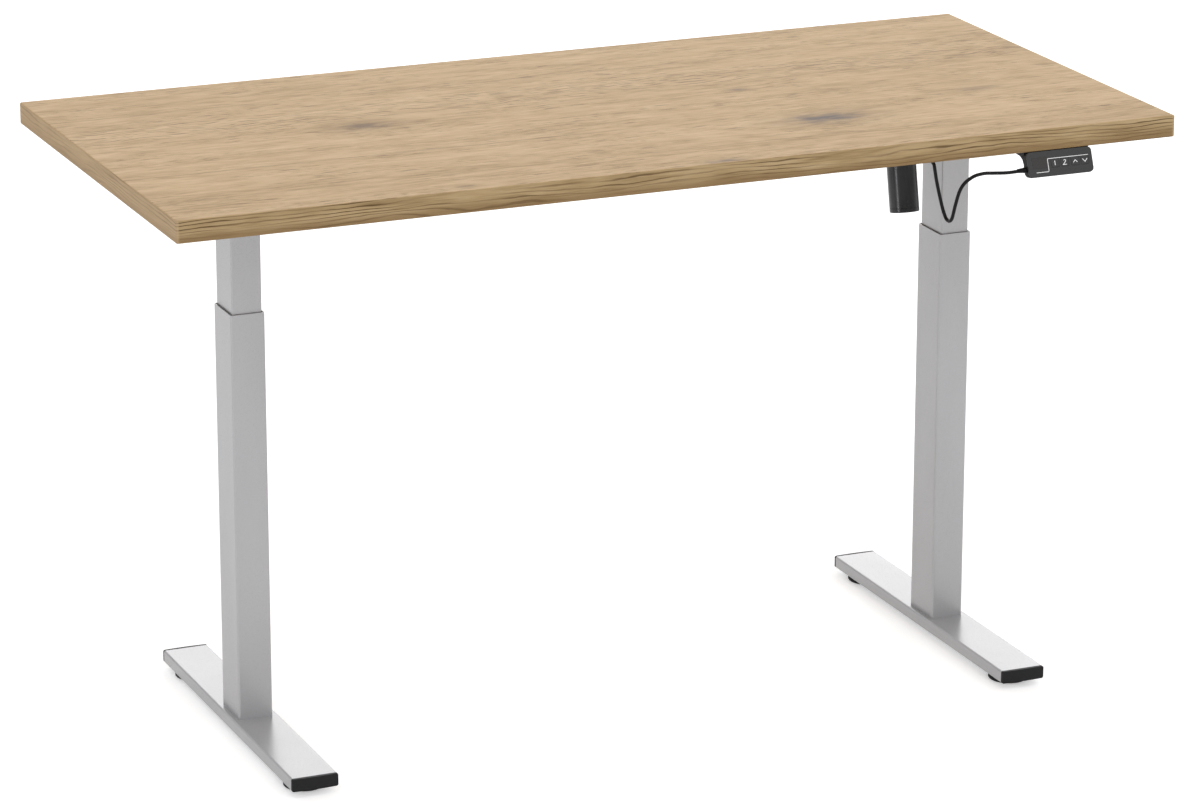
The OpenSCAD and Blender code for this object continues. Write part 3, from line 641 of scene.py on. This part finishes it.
solder_mask = Finish("circuit_board", srgb(28, 92, 56), 0.3)
_, tracks_y, _ = solder_mask.axes()
track_lines = (tracks_y * 500).off_centre().between(0.24, 0.30)
solder_mask.feed({
    "Base Color": solder_mask.blend(srgb(24, 84, 50), srgb(52, 120, 78), track_lines * 0.7),
    "Roughness": 0.4 - track_lines * 0.1,
})
paint(solder_mask, "control_board", "handset_board")

# ---- handset ----
# A slim dark housing under the front edge. Its sloping face has a small display window, four
# flush keys and thin printed lines.
face_width, face_height = 0.110, 0.0386
face_reach, face_drop = 0.014, 0.0004   # how far it juts out, and its gap to the desktop
face_lean = math.asin(face_reach / face_height)
face_low, face_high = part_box("handset_face")
face_foot = Vector((
    (face_low.x + face_high.x) / 2,
    edge_low.y - face_reach,
    edge_low.z - face_drop - face_height * math.cos(face_lean),
))
on_face = Matrix.Translation(face_foot) @ Matrix.Rotation(math.pi / 2 - face_lean, 4, "X")
eased("handset_body", 0.001, "desk", "dark_grey_plastic", black_mould, 3)
eased("handset_face", 0.0005, "desk", "dark_grey_plastic", grey_mould)
for key in ("key_memory_1", "key_memory_2", "key_up", "key_down"):
    eased(key, 0.00035, key, "dark_grey_plastic", grey_mould)

smoked_window = Finish("dark_window", srgb(50, 47, 46), 0.2)
window_tone = smoked_window.noise((90, 90, 90), 62, 1)
smoked_window.feed({"Roughness": window_tone * 0.1 + 0.2})
paint(smoked_window, "handset_display")

white_ink = Finish("white_ink", srgb(248, 248, 248), 0.5)
ink_tone = white_ink.noise((3000, 3000, 3000), 63, 1)
white_ink.feed({"Roughness": ink_tone * 0.2 + 0.4})
ink_thickness = 0.00012
key_height = 0.0003   # how far the keys stand out of the face


def printed(name, line, body, height=key_height, stroke=0.0010):
    """A thin raised stroke along a line on the handset's face, in metres from its foot."""
    ink = bmesh.new()
    run = [ink.verts.new((u, v, 0)) for u, v in line]
    edges = [ink.edges.new(pair) for pair in zip(run, run[1:])]
    ribbon = bmesh.ops.extrude_edge_only(ink, edges=edges)["geom"]
    raised = [g for g in ribbon if isinstance(g, bmesh.types.BMVert)]
    bmesh.ops.translate(ink, verts=raised, vec=(0, 0, ink_thickness))
    bmesh.ops.solidify(ink, geom=ink.faces[:], thickness=stroke)
    bmesh.ops.recalc_face_normals(ink, faces=ink.faces)
    bmesh.ops.translate(ink, verts=ink.verts, vec=(0, 0, height))
    bmesh.ops.transform(ink, matrix=on_face, verts=ink.verts)
    return built(ink, name, body, "dark_grey_plastic", white_ink)


line_low, line_high = 0.19 * face_height, 0.70 * face_height
line_bend = -0.195 * face_width
line_round = 0.0012
printed(
    "face_line",
    [
        (-0.385 * face_width, line_low), (line_bend - line_round, line_low),
        (line_bend - 0.3 * line_round, line_low + 0.3 * line_round),
        (line_bend, line_low + line_round), (line_bend, line_high - line_round),
        (line_bend + 0.3 * line_round, line_high - 0.3 * line_round),
        (line_bend + line_round, line_high), (0.44 * face_width, line_high),
    ],
    "desk", 0.0, 0.0009,
)
key_middle = face_height / 2
one_x, two_x, up_x, down_x = (share * face_width for share in (-0.08, 0.07, 0.23, 0.38))
printed("figure_1", [
    (one_x - 0.0016, key_middle + 0.0024), (one_x, key_middle + 0.0038),
    (one_x, key_middle - 0.0038),
], "key_memory_1")
bow, bow_middle = 0.0021, key_middle + 0.0017
bow_angles = [math.radians(a) for a in range(170, -41, -30)]
printed("figure_2", [
    *((two_x + bow * math.cos(a), bow_middle + bow * math.sin(a)) for a in bow_angles),
    (two_x - 0.0022, key_middle - 0.0036), (two_x + 0.0024, key_middle - 0.0036),
], "key_memory_2")
arrow_half = 0.0038
for arrow, arrow_x, rise, key in (
    ("arrow_up", up_x, 0.0021, "key_up"),
    ("arrow_down", down_x, -0.0021, "key_down"),
):
    printed(arrow, [
        (arrow_x - arrow_half, key_middle - rise), (arrow_x, key_middle + rise),
        (arrow_x + arrow_half, key_middle - rise),
    ], key)

# ---- handset cord ----
# A thin limp cord in a soft black jacket. It leaves the handset's left end, hangs in one loop
# in front of the right column, and runs under the desktop to the control box.
cord_thickness = 0.0055
cord_route = [
    (0.53, -0.376, 0.855), (0.518, -0.3757, 0.8545), (0.506, -0.3745, 0.8546),
    (0.49, -0.373, 0.8556), (0.477, -0.371, 0.856), (0.464, -0.3687, 0.8536),
    (0.455, -0.3668, 0.849), (0.4458, -0.3646, 0.841), (0.4394, -0.3627, 0.829),
    (0.4346, -0.3613, 0.811), (0.4319, -0.3595, 0.796), (0.431, -0.357, 0.7875),
    (0.4308, -0.3525, 0.7826), (0.4306, -0.3458, 0.7806), (0.4304, -0.339, 0.7824),
    (0.43, -0.3338, 0.7876), (0.4275, -0.3306, 0.799), (0.4223, -0.3304, 0.819),
    (0.4173, -0.3303, 0.84), (0.4144, -0.3296, 0.857), (0.413, -0.3272, 0.867),
    (0.4076, -0.3213, 0.8752), (0.3965, -0.3133, 0.8787), (0.379, -0.3035, 0.879),
    (0.354, -0.295, 0.879), (0.318, -0.29, 0.879), (0.27, -0.287, 0.878), (0.22, -0.285, 0.879),
    (0.16, -0.282, 0.878), (0.1, -0.277, 0.879), (0.04, -0.268, 0.879), (-0.02, -0.254, 0.878),
    (-0.07, -0.236, 0.879), (-0.112, -0.208, 0.878), (-0.142, -0.178, 0.8755),
    (-0.161, -0.157, 0.8702), (-0.176, -0.151, 0.867), (-0.19, -0.15, 0.866),
]
steps_between = 6


def smooth_route(points, steps):
    """Points on a smooth curve that passes through every point of a route."""
    known = [Vector(p) for p in points]
    known = [known[0], *known, known[-1]]
    curve = []
    for a, b, c, d in zip(known, known[1:], known[2:], known[3:]):
        for i in range(steps):
            t = i / steps
            curve.append(0.5 * (
                2 * b + (c - a) * t + (2 * a - 5 * b + 4 * c - d) * t**2
                + (3 * b - a - 3 * c + d) * t**3
            ))
    return curve + [known[-1]]


cord_points = smooth_route(cord_route, steps_between)
cord_length = sum((b - a).length for a, b in zip(cord_points, cord_points[1:]))

soft_jacket = Finish(
    "black_jacket", srgb(14, 14, 15), 0.5, fixed={"Specular IOR Level": 0.2}
)
jacket_grain = soft_jacket.noise((1800, 1800, 1800), 71, 1)
soft_jacket.vary(jacket_grain, srgb(11, 11, 12), srgb(18, 18, 19), 0.34, 0.2)
cord_curve = bpy.data.curves.new("handset_lead", "CURVE")
cord_curve.dimensions = "3D"
cord_curve.bevel_depth = cord_thickness / 2
cord_curve.bevel_resolution = 4
cord_curve.use_fill_caps = True
cord_line = cord_curve.splines.new("POLY")
cord_line.points.add(len(cord_points) - 1)
for place, point in zip(cord_line.points, cord_points):
    place.co = (*point, 1)
cord_curve.materials.append(soft_jacket.material)
cord = bpy.data.objects.new("handset_lead", cord_curve)
scene.collection.objects.link(cord)
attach(cord, "desk")
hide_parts("handset_cord")

# the ribbed, tapered strain relief at the handset's end
relief_root = Vector((0.545, -0.376, 0.8555))
relief_low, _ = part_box("cord_strain_relief")
relief_length = relief_root.x - relief_low.x
relief_outline = [
    (0, -0.003), (0.003, -0.003), (0.003, 0),
    (0.0044, 0), (0.0046, 0.0003), (0.0046, 0.0014),
]
for rib in range(5):
    start = 0.0018 + rib * 0.0026
    radius = 0.0043 - 0.00025 * rib
    relief_outline += [
        (radius - 0.0008, start), (radius - 0.0008, start + 0.0007),
        (radius, start + 0.0010), (radius, start + 0.0020), (radius - 0.0008, start + 0.0023),
    ]
relief_outline += [(cord_thickness / 2 + 0.0003, relief_length), (0, relief_length)]
relief = turned(relief_outline, 32)
bmesh.ops.recalc_face_normals(relief, faces=relief.faces)
relief_place = Matrix.Translation(relief_root) @ Matrix.Rotation(-math.pi / 2, 4, "Y")
bmesh.ops.transform(relief, matrix=relief_place, verts=relief.verts)
sharpen(relief, 40)
lead_relief = built(
    relief, "lead_relief", "desk", "black_rubber", soft_jacket, stands_for=["cord_strain_relief"]
)
lead_plug = eased("cord_plug", 0.0006, "desk", "black_plastic", black_mould)
eased("cord_clips", 0.0004, "desk", "black_plastic", black_mould)
